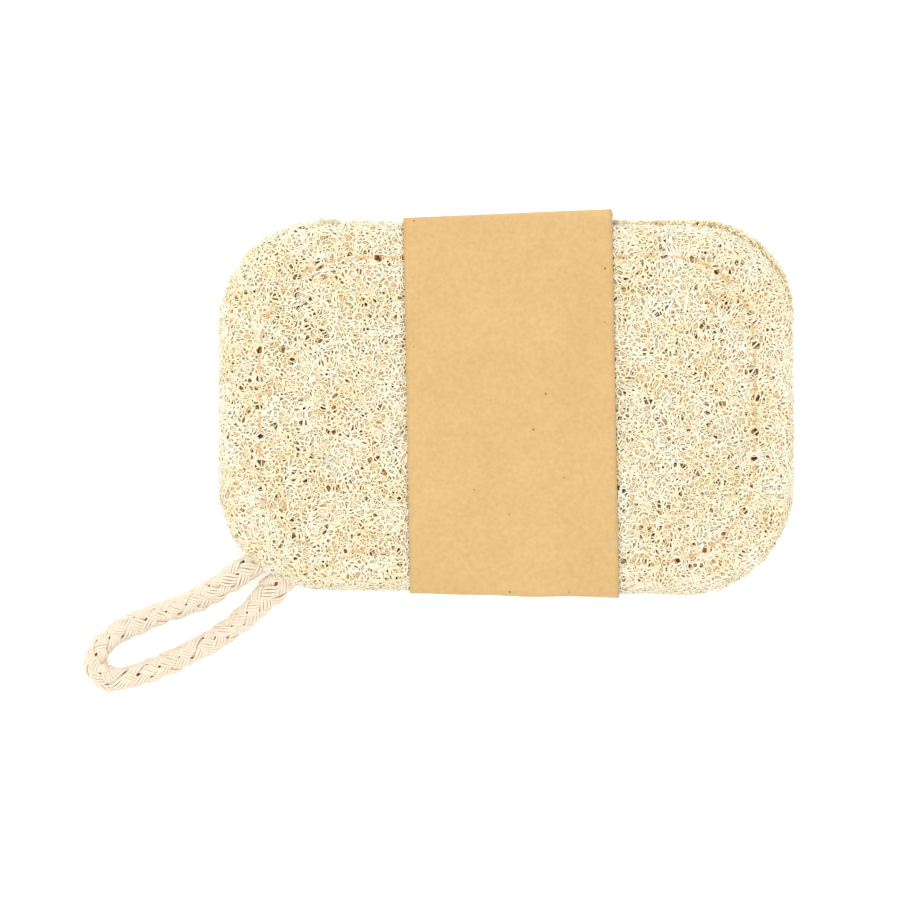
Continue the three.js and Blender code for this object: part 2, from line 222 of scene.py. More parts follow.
def new_piece(name, points, faces, material, attributes=None):
    """A mesh object from points in millimetres and faces of equally many corners."""
    mesh = bpy.data.meshes.new(name)
    corners = faces.shape[1]
    mesh.vertices.add(len(points))
    mesh.vertices.foreach_set("co", (points * MM).astype(np.float32).ravel())
    mesh.loops.add(faces.size)
    mesh.loops.foreach_set("vertex_index", faces.astype(np.int32).ravel())
    mesh.polygons.add(len(faces))
    starts = np.arange(0, faces.size, corners, dtype=np.int32)
    mesh.polygons.foreach_set("loop_start", starts)
    for key, values in (attributes or {}).items():
        layer = mesh.attributes.new(key, "FLOAT", "POINT")
        layer.data.foreach_set("value", values.astype(np.float32).ravel())
    mesh.update(calc_edges=True)
    mesh.validate()
    mesh.polygons.foreach_set("use_smooth", np.full(len(faces), True))
    mesh.materials.append(material)
    piece = bpy.data.objects.new(name, mesh)
    bpy.context.scene.collection.objects.link(piece)
    return piece


def unit(vectors):
    length = np.linalg.norm(vectors, axis=-1, keepdims=True)
    return vectors / np.maximum(length, 1e-9)


def side_vectors(paths):
    """Two vectors square to each path at each point, carried along it without twist."""
    along = unit(np.gradient(paths, axis=1))
    first = np.empty_like(paths)
    upright = np.zeros_like(along[:, 0])
    upright[:, 2] = 1.0
    flat = np.abs(along[:, 0, 2]) > 0.9
    upright[flat] = (1.0, 0.0, 0.0)
    first[:, 0] = unit(np.cross(along[:, 0], upright))
    for i in range(1, paths.shape[1]):
        kept = first[:, i - 1]
        overlap = np.sum(kept * along[:, i], axis=-1, keepdims=True)
        first[:, i] = unit(kept - overlap * along[:, i])
    return first, np.cross(along, first)


def tubes(paths, radii, sides):
    """Points and faces of closed tubes along paths (fibre, step, xyz) of given radii."""
    count, steps, _ = paths.shape
    first, second = side_vectors(paths)
    angles = np.arange(sides) * (2 * math.pi / sides) - math.pi / 2
    ring = (
        np.cos(angles)[None, None, :, None] * first[:, :, None, :]
        + np.sin(angles)[None, None, :, None] * second[:, :, None, :]
    )
    points = paths[:, :, None, :] + ring * radii[:, :, None, None]
    index = np.arange(count * steps * sides).reshape(count, steps, sides)
    beside = np.roll(index, -1, axis=2)
    walls = np.stack(
        [index[:, :-1], beside[:, :-1], beside[:, 1:], index[:, 1:]], axis=-1
    ).reshape(-1, 4)
    ends = []
    for i in range(1, sides - 1):
        ends.append(np.stack([index[:, 0, 0], index[:, 0, i + 1], index[:, 0, i]], -1))
        ends.append(np.stack([index[:, -1, 0], index[:, -1, i], index[:, -1, i + 1]], -1))
    return points.reshape(-1, 3), walls, np.concatenate(ends)


def strand_tones(depths):
    """Depths at the ridge and the two lower corners of three-sided strands, whose lower corners
    get a painted shade.
    """
    return (depths.ravel()[:, None] + np.array([0.0, FLANK_SHADE, FLANK_SHADE])).ravel()


def as_triangles(quads, triangles):
    halves = np.concatenate([quads[:, [0, 1, 2]], quads[:, [0, 2, 3]]])
    return np.concatenate([halves, triangles])


# The pad's outline


def corners_of(o):
    """Each corner's place, radius and sides, counter-clockwise from the upper right."""
    return [
        (o["right"], o["top_right"], o["top_right_radius"], 1, 1),
        (o["left"], o["top_left"], o["top_left_radius"], -1, 1),
        (o["left"], o["bottom_left"], o["bottom_left_radius"], -1, -1),
        (o["right"], o["bottom_right"], o["bottom_right_radius"], 1, -1),
    ]


def edge_near(o, x, y):
    """How far plan points lie inside an outline, and which way is out from there."""
    share = (x - o["left"]) / (o["right"] - o["left"])
    top = o["top_left"] + share * (o["top_right"] - o["top_left"])
    bottom = o["bottom_left"] + share * (o["bottom_right"] - o["bottom_left"])
    depths = np.stack([o["right"] - x, x - o["left"], top - y, y - bottom])
    nearest = np.argmin(depths, axis=0)
    depth = np.min(depths, axis=0)
    out_x = np.array([1.0, -1.0, 0.0, 0.0])[nearest]
    out_y = np.array([0.0, 0.0, 1.0, -1.0])[nearest]
    for corner_x, corner_y, radius, side_x, side_y in corners_of(o):
        away_x = x - (corner_x - side_x * radius)
        away_y = y - (corner_y - side_y * radius)
        inside = (away_x * side_x > 0) & (away_y * side_y > 0)
        length = np.maximum(np.hypot(away_x, away_y), 1e-9)
        depth = np.where(inside, radius - length, depth)
        out_x = np.where(inside, away_x / length, out_x)
        out_y = np.where(inside, away_y / length, out_y)
    return depth, out_x, out_y


def outline_points(outline, inset=0.0, per_corner=24):
    """Points round an outline, counter-clockwise from the right side's upper end."""
    route = []
    for quarter, (corner_x, corner_y, radius, side_x, side_y) in enumerate(corners_of(outline)):
        turn = (quarter + np.linspace(0, 1, per_corner)) * (math.pi / 2)
        reach = radius - inset
        x = corner_x - side_x * radius + reach * np.cos(turn)
        y = corner_y - side_y * radius + reach * np.sin(turn)
        route.append(np.stack([x, y], 1))
    return np.concatenate(route)


def run_along(route):
    """The distance along an open route at each of its points."""
    return np.concatenate([[0], np.cumsum(np.linalg.norm(np.diff(route, axis=0), axis=1))])


def points_at(route, lengths, places):
    return np.stack([np.interp(places, lengths, column) for column in route.T], 1)


def spaced(route, stations):
    """Points of a closed route at the given distances along it."""
    closed = np.vstack([route, route[:1]])
    lengths = run_along(closed)
    return points_at(closed, lengths, np.mod(stations, lengths[-1]))


def route_length(route):
    closed = np.vstack([route, route[:1]])
    return float(np.sum(np.linalg.norm(np.diff(closed, axis=0), axis=1)))


def smooth_step(value):
    value = np.clip(value, 0, 1)
    return value * value * (3 - 2 * value)


# The skin of a layer


class Waves:
    """A smooth random field over the plan, made of a few sine waves."""

    def __init__(self, rng, shortest, longest, count=14):
        angle = rng.uniform(0, 2 * math.pi, count)
        wavelength = np.exp(rng.uniform(math.log(shortest), math.log(longest), count))
        self.kx = np.cos(angle) * 2 * math.pi / wavelength
        self.ky = np.sin(angle) * 2 * math.pi / wavelength
        self.phase = rng.uniform(0, 2 * math.pi, count)
        self.height = math.sqrt(2 / count)

    def __call__(self, x, y):
        total = np.zeros_like(x)
        for kx, ky, phase in zip(self.kx, self.ky, self.phase):
            total += np.sin(kx * x + ky * y + phase)
        return total * self.height


class Layer:
    """A loofah layer: its outline, the way it faces, its cell size and the relief of its skin."""

    def __init__(self, name, outline, side, seed, cell, spring, relief, rim_tone):
        self.name = name
        self.outline = outline
        self.side = side
        self.cell = cell
        self.spring = spring
        self.relief = relief
        self.rim_tone = rim_tone
        self.rng = np.random.default_rng(seed)
        self.bumps = Waves(self.rng, 10, 40)
        self.rim = Waves(self.rng, 2.5, 9)

    def depth(self, x, y):
        return edge_near(self.outline, x, y)[0]

    def edge_share(self, x, y):
        """0 over the layer's top, rising to 1 on the way round its edge."""
        return smooth_step((1.5 - self.depth(x, y)) / 2.5)

    def tone(self, x, y):
        """How much deeper in tone the fibres are towards the layer's edge; below zero it colours
        the edge lighter, as painted light against the shade there.
        """
        return self.rim_tone * self.edge_share(x, y)

    def placed(self, points):
        """Heights over the middle plane as heights over the floor, turned over for the back."""
        placed = points.copy()
        placed[..., 2] = np.maximum(MIDDLE + self.side * points[..., 2], 0.06)
        return placed

    def turned(self, faces):
        return faces if self.side > 0 else faces[:, ::-1]


def free_of_sleeve(x):
    """0 under the sleeve, where the net is pressed flat, rising to 1 clear of it."""
    past = np.maximum(SLEEVE_LEFT - x, x - SLEEVE_RIGHT) - SLEEVE_GRIP
    return smooth_step(past / SLEEVE_EASE)


def skin(layer, x, y, rise):
    """Points of a layer's skin over plan points, which run on round its edge and down its side."""
    depth, out_x, out_y = edge_near(layer.outline, x, y)
    travel = np.mod(np.maximum(EDGE_REACH - depth, 0), 2 * EDGE_LENGTH)
    travel = np.where(travel > EDGE_LENGTH, 2 * EDGE_LENGTH - travel, travel)
    angle = travel / EDGE_LENGTH * EDGE_TURN
    free = free_of_sleeve(x)
    seam_depth, _, _ = edge_near(SEAM, x, y)
    pressed = PRESSED_DIP + (1 - PRESSED_DIP) * free
    dip = SEAM_DIP * np.exp(-((seam_depth / SEAM_WIDTH) ** 2)) * pressed
    top = PRESSED_HEIGHT + free * (layer.spring + layer.relief * layer.bumps(x, y)) - dip
    over = depth < EDGE_REACH
    bulge = rise + RIM_BULGE * free * layer.rim(x, y)
    reach = depth - EDGE_REACH * (1 - np.sin(angle)) + bulge * np.sin(angle)
    reach = np.where(over, reach, 0.0)
    curved = EDGE_BASE + (top - EDGE_BASE + rise) * np.cos(angle)
    return np.stack(
        [x + out_x * reach, y + out_y * reach, np.where(over, curved, top + rise)], axis=-1
    )


# Pores that push the fibres aside, and the seam's needle holes


def seam_stitches():
    """The needle holes' plan points, in order round the seam."""
    route = outline_points(SEAM)
    length = route_length(route)
    jitter = np.random.default_rng(71).uniform(-STITCH_JITTER, STITCH_JITTER, STITCHES)
    stations = (np.arange(STITCHES) + jitter) * length / STITCHES
    drift = STITCH_DRIFT * (1 + np.cos(2 * math.pi * (stations / length - DRIFT_PEAK)))
    return spaced(route, stations + STITCH_SHIFT - drift)


def open_pores(x, y, centres, radii):
    """Plan points moved out of round pores, so that fibres curl round them."""
    for (centre_x, centre_y), radius in zip(centres, radii):
        near = np.flatnonzero(
            (np.abs(x - centre_x) < 5 * radius) & (np.abs(y - centre_y) < 5 * radius)
        )
        away_x = x[near] - centre_x
        away_y = y[near] - centre_y
        length = np.maximum(np.hypot(away_x, away_y), 1e-6)
        push = radius * np.exp(-((length / (1.7 * radius)) ** 2)) / length
        x[near] += away_x * push
        y[near] += away_y * push
    return x, y


def in_a_pore(points, pores):
    inside = np.zeros(len(points), dtype=bool)
    for centres, radii in pores:
        for centre, radius in zip(centres, radii):
            inside |= np.hypot(*(points - centre).T) < 1.5 * radius + 0.3
    return inside


def random_pores(rng, count, smallest, largest):
    x = rng.uniform(PAD["left"] + 1, PAD["right"] - 1, count)
    y = rng.uniform(PAD["bottom_right"] + 1, PAD["top_left"] - 1, count)
    size = smallest * (largest / smallest) ** (rng.uniform(0, 1, count) ** 2)
    return np.stack([x, y], 1), size


# The net of fibres


def fibre_paths(rng, field, count, length, steps, spread, curl, outline):
    """Plan paths of fibres that follow a direction field, each with its own lean and sway."""
    margin = EDGE_OVERRUN
    x = rng.uniform(outline["left"] - margin, outline["right"] + margin, 2 * count)
    y = rng.uniform(outline["bottom_right"] - margin, outline["top_left"] + margin, 2 * count)
    depth, _, _ = edge_near(outline, x, y)
    inside = np.flatnonzero(depth > -margin)[:count]
    x, y = x[inside], y[inside]
    count = len(x)
    stride = length * rng.uniform(0.5, 1.4, count) / (steps - 1)
    lean = rng.normal(0, spread, count) + math.pi * rng.integers(0, 2, count)
    sway = rng.uniform(0, 2 * math.pi, count)
    pace = rng.uniform(0.5, 1.3, count) * (1 + curl)
    path_x = np.empty((count, steps))
    path_y = np.empty((count, steps))
    reached = np.full(count, steps - 1)
    for i in range(steps):
        path_x[:, i] = x
        path_y[:, i] = y
        depth, _, _ = edge_near(outline, x, y)
        reached = np.where(depth < -margin, np.minimum(reached, i), reached)
        turn = field(x, y) + lean + (0.25 + curl) * np.sin(sway + pace * stride * i)
        x = x + np.cos(turn) * stride
        y = y + np.sin(turn) * stride
    keep = reached > steps // 3
    place = reached[keep, None] * np.linspace(0, 1, steps)[None, :]
    lower = np.minimum(place.astype(int), steps - 2)
    part = place - lower
    rows = np.flatnonzero(keep)[:, None]
    cut_x = path_x[rows, lower] * (1 - part) + path_x[rows, lower + 1] * part
    cut_y = path_y[rows, lower] * (1 - part) + path_y[rows, lower + 1] * part
    return cut_x, cut_y


def moved_aside(x, y, pores):
    shape = x.shape
    x, y = x.ravel().copy(), y.ravel().copy()
    for centres, radii in pores:
        x, y = open_pores(x, y, centres, radii)
    return x.reshape(shape), y.reshape(shape)


def long_fibres(layer, pores, depth, spacing, radius, length, stride, spread, curl=0.0):
    """Points, faces and depths of long single fibres that run through the net."""
    rng, outline = layer.rng, layer.outline
    width = outline["right"] - outline["left"] + 5
    height = outline["top_left"] - outline["bottom_right"] + 5
    count = int(width * height / spacing / (0.95 * length))
    steps = max(3, int(round(length / stride)) + 1)
    base = rng.uniform(0, math.pi)
    waves = Waves(rng, 12, 60)

    def field(x, y):
        return base + 0.8 * waves(x, y)

    x, y = fibre_paths(rng, field, count, length, steps, spread, curl, outline)
    clear = free_of_sleeve(x).max(axis=1) > 0
    x, y = moved_aside(x[clear], y[clear], pores)
    count = len(x)
    weave = rng.uniform(0, 2 * math.pi, (count, 1))
    pace = rng.uniform(0.5, 1.1, (count, 1))
    along = np.arange(steps)[None, :] * stride
    from_end = np.minimum(np.arange(steps), np.arange(steps)[::-1])[None, :] * stride
    sink = 0.4 * np.exp(-((from_end / 1.2) ** 2))
    lift = 0.07 * np.sin(weave + pace * along) + rng.normal(0, 0.05, (count, 1)) - sink
    points = skin(layer, x, y, -depth + lift - radius)
    thickness = radius * np.exp(rng.normal(0, 0.22, (count, 1)))
    radii = thickness * (1 - 1.2 * sink) * (1 + 0.12 * np.sin(3 * weave + 2.3 * along))
    tube, walls, ends = tubes(points, radii, 3)
    depths = np.clip(depth - lift, 0, None) + rng.normal(0, 0.08, (count, 1)) + layer.tone(x, y)
    return tube, as_triangles(walls, ends), strand_tones(depths)


def cell_points(layer, size):
    """Plan points at the middle of the net's cells, larger ones where the sleeve hides them."""
    rng, outline = layer.rng, layer.outline
    low_x, high_x = outline["left"] - EDGE_OVERRUN, outline["right"] + EDGE_OVERRUN
    low_y, high_y = outline["bottom_right"] - EDGE_OVERRUN, outline["top_left"] + EDGE_OVERRUN
    found = []
    for zone, spacing in enumerate((size, OUTER_CELL * size, HIDDEN_CELL)):
        rows = np.arange(low_y, high_y, spacing * CELL_ROWS)
        columns = np.arange(low_x, high_x, spacing * CELL_COLUMNS)
        x, y = np.meshgrid(columns, rows)
        x[1::2] += spacing / 2
        x = x + rng.uniform(-CELL_JITTER, CELL_JITTER, x.shape) * spacing
        y = y + rng.uniform(-CELL_JITTER, CELL_JITTER, y.shape) * spacing
        x, y = x.ravel(), y.ravel()
        depth = layer.depth(x, y)
        under = (x > SLEEVE_LEFT + 3) & (x < SLEEVE_RIGHT - 3) & (depth > 3)
        outer = edge_near(SEAM, x, y)[0] < 1.0
        keep = (depth > -EDGE_OVERRUN) & (np.where(under, 2, np.where(outer, 1, 0)) == zone)
        keep &= rng.uniform(0, 1, len(x)) > CELLS_LEFT_OUT
        found.append(np.stack([x[keep], y[keep]], 1))
    return np.concatenate(found)


def cell_borders(seeds):
    """The triangles between the cells, and each border's two triangles and two cells."""
    found = delaunay_2d_cdt([Vector(p) for p in seeds.tolist()], [], [], 0, 1e-7, True)
    seeds = np.array([tuple(p) for p in found[0]])
    triangles = np.array([f for f in found[2] if len(f) == 3])
    sides = np.concatenate([triangles[:, [0, 1]], triangles[:, [1, 2]], triangles[:, [2, 0]]])
    owner = np.tile(np.arange(len(triangles)), 3)
    sides.sort(axis=1)
    key = sides[:, 0].astype(np.int64) * len(seeds) + sides[:, 1]
    order = np.argsort(key, kind="stable")
    same = np.flatnonzero(key[order][1:] == key[order][:-1])
    return seeds, triangles, owner[order][same], owner[order][same + 1], sides[order][same]


def strands_between(start, end, normal, thick):
    """Points and faces of three-sided strands that run a little past the points they join."""
    along = unit(end - start)
    aside = unit(np.cross(along, normal))
    over, ridge, foot, spread = (share * thick[:, None] for share in (0.4, 0.9, 0.5, 1.15))
    ring = []
    for point in (start - along * over, end + along * over):
        below = point - normal * foot
        ring += [point + normal * ridge, below - aside * spread, below + aside * spread]
    first_corner = (np.arange(len(start)) * 6)[:, None]
    faces = np.concatenate([first_corner + np.array(corners)[None] for corners in STRAND_FACES])
    return np.stack(ring, 1).reshape(-1, 3), faces


def cell_net(layer, pores, depth, size, radius, webbed):
    """Points, faces and depths of a net of many-sided cells, a share of them webbed over."""
    rng = layer.rng
    seeds, triangles, first, second, cells = cell_borders(cell_points(layer, size))
    pulls = (Waves(rng, 3, 8), Waves(rng, 3, 8))
    seeds = seeds + CELL_STRETCH * np.stack([pull(*seeds.T) for pull in pulls], 1)
    corners = seeds[triangles]
    longest = np.linalg.norm(corners - np.roll(corners, 1, axis=1), axis=2).max(axis=1)
    nodes = corners.mean(axis=1) + rng.normal(0, 0.05 * size, (len(triangles), 2))
    keep = (longest[first] < LONGEST_CELL) & (longest[second] < LONGEST_CELL)
    first, second, cells = first[keep], second[keep], cells[keep]

    x, y = moved_aside(nodes[:, 0], nodes[:, 1], pores)
    heights = rng.normal(0, 0.07, len(nodes))
    place = skin(layer, x, y, -depth + heights - radius)
    up = unit(place - skin(layer, x, y, -depth + heights - radius - 1.0))
    thick = radius * np.exp(rng.normal(0, 0.32, len(first)))
    normal = unit(up[first] + up[second])
    points, faces = strands_between(place[first], place[second], normal, thick)
    rim = layer.tone(x, y)
    tone = rng.normal(0, 0.08, len(first)) + rim[first]
    depths = strand_tones(np.repeat(depth - (heights[first] + heights[second]) / 2 + tone, 2))
    if webbed == 0:
        return points, faces, depths

    filled = (rng.uniform(0, 1, len(seeds)) < webbed) & ~in_a_pore(seeds, pores)
    seed_x, seed_y = moved_aside(seeds[:, 0], seeds[:, 1], pores)
    sag = radius + rng.uniform(0.1, 0.3, len(seeds))
    rims = skin(layer, x, y, -depth + heights - 1.5 * radius)
    web_points = np.concatenate([rims, skin(layer, seed_x, seed_y, -depth - sag)])
    seed_tones = depth + rng.exponential(0.3, len(seeds)) + layer.tone(seed_x, seed_y)
    web_tones = np.concatenate([depth + 0.02 + rim, seed_tones])
    webs = []
    for cell in cells.T:
        chosen = filled[cell]
        webs.append(np.stack([first[chosen], second[chosen], cell[chosen] + len(nodes)], 1))
    webs = np.concatenate(webs)
    a, b, c = (web_points[webs[:, i]] for i in range(3))
    flip = np.sum(np.cross(b - a, c - a) * up[webs[:, 0]], axis=1) < 0
    webs[flip] = webs[flip][:, [1, 0, 2]]
    used, webs = np.unique(webs.ravel(), return_inverse=True)
    return (
        np.concatenate([points, web_points[used]]),
        np.concatenate([faces, webs.reshape(-1, 3) + len(points)]),
        np.concatenate([depths, web_tones[used]]),
    )


def outward_from(outline, plan):
    """The directions that lead out of an outline near plan points on it."""
    _, out_x, out_y = edge_near(outline, *(plan * 0.98).T)
    return np.stack([out_x, out_y], 1)


def loose_ends(layer, plan, outward, rise, length, radius):
    """Fibre ends that stand off the pad's edge, from plan points and outward directions."""
    rng = layer.rng
    count, steps = len(plan), 5
    root = skin(layer, plan[:, 0], plan[:, 1], rise)
    heading = np.concatenate([outward, rng.normal(0, 0.35, (count, 1))], 1)
    heading = unit(heading + rng.normal(0, 0.5, (count, 3)))
    bend = rng.normal(0, 0.5, (count, 3))
    share = np.linspace(-0.3, 1, steps)[None, :, None]
    reach = length[:, None, None]
    paths = root[:, None] + reach * (heading[:, None] * share + bend[:, None] * share**2 * 0.6)
    radii = np.tile(radius * np.linspace(1, 0.55, steps), (count, 1))
    tube, walls, ends = tubes(paths, radii, 3)
    depths = np.repeat(rng.uniform(0.0, 0.35, count), steps * 3)
    return tube, as_triangles(walls, ends), depths


def fringe(layer):
    """Short loose ends all round the edge, and on the front the tuft at its top."""
    rng, outline = layer.rng, layer.outline
    rim = outline_points(outline)
    plan = spaced(rim, rng.uniform(0, route_length(rim), FRINGE_COUNT))
    plan = plan[(plan[:, 0] < SLEEVE_LEFT - 1) | (plan[:, 0] > SLEEVE_RIGHT + 1)]
    outward = outward_from(outline, plan)
    plan = plan + outward * rng.uniform(-FRINGE_BAND, FRINGE_BAND, (len(plan), 1))
    lengths = rng.uniform(0.3, 0.9, len(plan))
    parts = [loose_ends(layer, plan, outward, -0.2, lengths, 0.12)]
    if layer.side > 0:
        across = rng.normal(TUFT_MIDDLE, TUFT_SPREAD, TUFT_COUNT)
        plan = np.stack([across, rng.uniform(*TUFT_BAND, TUFT_COUNT)], 1)
        outward = np.stack([rng.normal(0, 0.8, TUFT_COUNT), np.full(TUFT_COUNT, 0.7)], 1)
        lengths = rng.uniform(0.7, 1.5, TUFT_COUNT)
        parts.append(loose_ends(layer, plan, outward, -0.1, lengths, 0.13))
    return parts


def rim_fibres(layer):
    """Short fibres between the two rims, which show where this one stands out past the other."""
    rng, outline = layer.rng, layer.outline
    rim = outline_points(outline)
    shares = [rng.uniform(0, DENSE_RIM_SHARE, DENSE_RIM_FIBRES), rng.uniform(0, 1, RIM_FIBRES)]
    plan = spaced(rim, route_length(rim) * np.concatenate(shares))
    cord = smooth_route(CORD_ROUTE)[:, :2]
    from_cord = np.linalg.norm(plan[:, None] - cord[None], axis=2).min(axis=1)
    under = (plan[:, 0] > SLEEVE_LEFT + 1) & (plan[:, 0] < SLEEVE_RIGHT - 1)
    plan = plan[(from_cord > CORD_CLEARANCE) & ~under]
    count, steps = len(plan), 4
    outward = outward_from(outline, plan)
    plan = plan - outward * rng.uniform(-0.15, 1.9, (count, 1))
    angle = np.arctan2(outward[:, 0], -outward[:, 1]) + rng.normal(0, 0.7, count)
    length = rng.uniform(0.8, 2.2, count)
    share = np.linspace(-0.5, 0.5, steps)[None, :]
    reach = length[:, None] * share
    bend = rng.normal(0, 0.25, (count, 1)) * (share**2 - 0.1) * length[:, None]
    cos, sin = np.cos(angle)[:, None], np.sin(angle)[:, None]
    x = plan[:, :1] + cos * reach - sin * bend
    y = plan[:, 1:] + sin * reach + cos * bend
    z = rng.uniform(-1.0, 0.2, (count, 1)) + rng.normal(0, 0.1, (count, steps))
    depth, out_x, out_y = edge_near(outline, x, y)
    over = np.minimum(depth + 0.2, 0)
    paths = np.stack([x + out_x * over, y + out_y * over, z], -1)
    tube, walls, ends = tubes(paths, np.full((count, steps), 0.14), 3)
    # Tones near the top of the ramp colour these rim fibres light, as painted light against the
    # shade between the two layers' edges.
    tones = np.repeat(rng.uniform(-0.1, 0.18, count), steps)
    return tube, as_triangles(walls, ends), strand_tones(tones)


def net_piece(name, layer, parts, material):
    """One mesh of several parts of the net."""
    starts = np.cumsum([0] + [len(p[0]) for p in parts[:-1]])
    points = layer.placed(np.concatenate([p[0] for p in parts]))
    faces = layer.turned(np.concatenate([p[1] + start for p, start in zip(parts, starts)]))
    depth = np.clip(np.concatenate([p[2] for p in parts]), 0, None)
    return new_piece(name, points, faces, material, {"depth": depth})


def core_piece(name, layer, material):
    """The inner mass of a layer, which closes the net below its open fibres, coloured brown as
    painted shade over the top and paler at the rim and wall as painted light.
    """
    rim = outline_points(layer.outline, -EDGE_OVERRUN)
    around = int(route_length(rim) / CORE_PITCH)
    rim = spaced(rim, np.linspace(0, route_length(rim), around + 1)[:-1])
    centre = rim.mean(axis=0)
    shares = np.linspace(0, 1, 30)[1:] ** 0.7
    rings = centre + (rim - centre)[None] * shares[:, None, None]
    x, y = rings[..., 0], rings[..., 1]
    rough = Waves(layer.rng, 1.5, 5.0)
    points = skin(layer, x, y, -CORE_DEPTH - 0.25 * rough(x, y))
    index = np.arange(x.size).reshape(x.shape)
    beside = np.roll(index, -1, axis=1)
    quads = np.stack([index[:-1], index[1:], beside[1:], beside[:-1]], -1).reshape(-1, 4)
    top_point = skin(layer, centre[:1], centre[1:], np.array([-CORE_DEPTH]))
    cap = np.stack([index[0], beside[0], np.full(around, x.size)], -1)
    low = points[-1].copy()
    low[:, 2] = CORE_FLOOR
    low_index = np.arange(around) + x.size + 1
    low_beside = np.roll(low_index, -1)
    wall = np.stack([index[-1], low_index, low_beside, beside[-1]], -1)
    floor_point = np.array([[centre[0], centre[1], CORE_FLOOR]])
    floor = np.stack([low_beside, low_index, np.full(around, x.size + around + 1)], -1)
    all_points = np.concatenate([points.reshape(-1, 3), top_point, low, floor_point])
    faces = as_triangles(np.concatenate([quads, wall]), np.concatenate([cap, floor]))
    patches = np.clip(CORE_TONE + 0.7 * Waves(layer.rng, 2.0, 6.0)(x, y), 1.1, 2.8)
    tones = np.full(len(all_points), CORE_TONE)
    tones[: x.size] = (patches + (CORE_RIM_TONE - patches) * layer.edge_share(x, y)).ravel()
    tones[x.size + 1 :] = CORE_WALL_TONE
    points = layer.placed(all_points)
    return new_piece(name, points, layer.turned(faces), material, {"depth": tones})


def hole_piece(name, layer, material):
    """The funnels that the needle left, coloured dark as painted shade."""
    corners = 10
    turn = np.arange(corners) * (2 * math.pi / corners)
    points, faces, depths = [], [], []
    for hole, (centre_x, centre_y) in enumerate(seam_stitches()):
        rings = []
        for radius, drop, tone in FUNNEL:
            x = centre_x + radius * np.cos(turn)
            y = centre_y + radius * np.sin(turn)
            rings.append(skin(layer, x, y, np.full(corners, -drop)))
            depths.append(np.full(corners, tone))
        points.append(np.concatenate([*rings, rings[-1].mean(axis=0)[None]]))
        depths.append([FUNNEL[-1][2]])
        mouth = hole * (2 * corners + 1)
        floor, middle = mouth + corners, mouth + 2 * corners
        for i in range(corners):
            j = (i + 1) % corners
            faces.append((mouth + i, floor + i, floor + j))
            faces.append((mouth + i, floor + j, mouth + j))
            faces.append((floor + i, middle, floor + j))
    points = layer.placed(np.concatenate(points))
    faces = layer.turned(np.array(faces))
    return new_piece(name, points, faces, material, {"depth": np.concatenate(depths)})


# Materials


def srgb(*colour):
    """A colour given as 0 to 255 in sRGB, as linear values with alpha."""
    parts = []
    for value in colour:
        share = value / 255
        parts.append(share / 12.92 if share <= 0.04045 else ((share + 0.055) / 1.055) ** 2.4)
    return (*parts, 1.0)


def new_material(name, roughness, specular=0.3):
    material = bpy.data.materials.new(name)
    material.use_nodes = True
    shader = material.node_tree.nodes["Principled BSDF"]
    shader.inputs["Roughness"].default_value = roughness
    shader.inputs["Specular IOR Level"].default_value = specular
    return material, material.node_tree, shader


def feed(tree, value, socket):
    """Gives a socket a fixed value or another socket's output."""
    if isinstance(value, bpy.types.NodeSocket):
        tree.links.new(value, socket)
    else:
        socket.default_value = value


def attribute_value(tree, name):
    node = tree.nodes.new("ShaderNodeAttribute")
    node.attribute_name = name
    return node.outputs["Fac"]


def product(tree, first, second):
    node = tree.nodes.new("ShaderNodeMath")
    node.operation = "MULTIPLY"
    feed(tree, first, node.inputs[0])
    feed(tree, second, node.inputs[1])
    return node.outputs[0]


def ramp_colour(tree, factor, stops):
    """A colour ramp over a factor, from pairs of a place and a linear colour."""
    ramp = tree.nodes.new("ShaderNodeValToRGB")
    elements = ramp.color_ramp.elements
    while len(elements) < len(stops):
        elements.new(0.5)
    for element, (place, colour) in zip(elements, stops):
        element.position = place
        element.color = colour
    tree.links.new(factor, ramp.inputs["Fac"])
    return ramp.outputs["Color"]


def noise(tree, scale, detail=3.0, roughness=0.55):
    node = tree.nodes.new("ShaderNodeTexNoise")
    node.inputs["Scale"].default_value = scale
    node.inputs["Detail"].default_value = detail
    node.inputs["Roughness"].default_value = roughness
    tree.links.new(tree.nodes.new("ShaderNodeTexCoord").outputs["Object"], node.inputs["Vector"])
    return node.outputs["Fac"]


def mix_colour(tree, kind, amount, first, second):
    mix = tree.nodes.new("ShaderNodeMix")
    mix.data_type = "RGBA"
    mix.blend_type = kind
    feed(tree, amount, mix.inputs["Factor"])
    # Inputs 6 and 7 and output 2 are the node's colours, which share their names with others
    feed(tree, first, mix.inputs[6])
    feed(tree, second, mix.inputs[7])
    return mix.outputs[2]


def tinted(tree, colour, factor, stops):
    """A colour multiplied by a ramp over a factor."""
    tint = ramp_colour(tree, factor, stops)
    return mix_colour(tree, "MULTIPLY", 1.0, colour, tint)


def add_bump(tree, shader, height, strength, distance):
    bump = tree.nodes.new("ShaderNodeBump")
    bump.inputs["Strength"].default_value = strength
    bump.inputs["Distance"].default_value = distance
    tree.links.new(height, bump.inputs["Height"])
    tree.links.new(bump.outputs["Normal"], shader.inputs["Normal"])


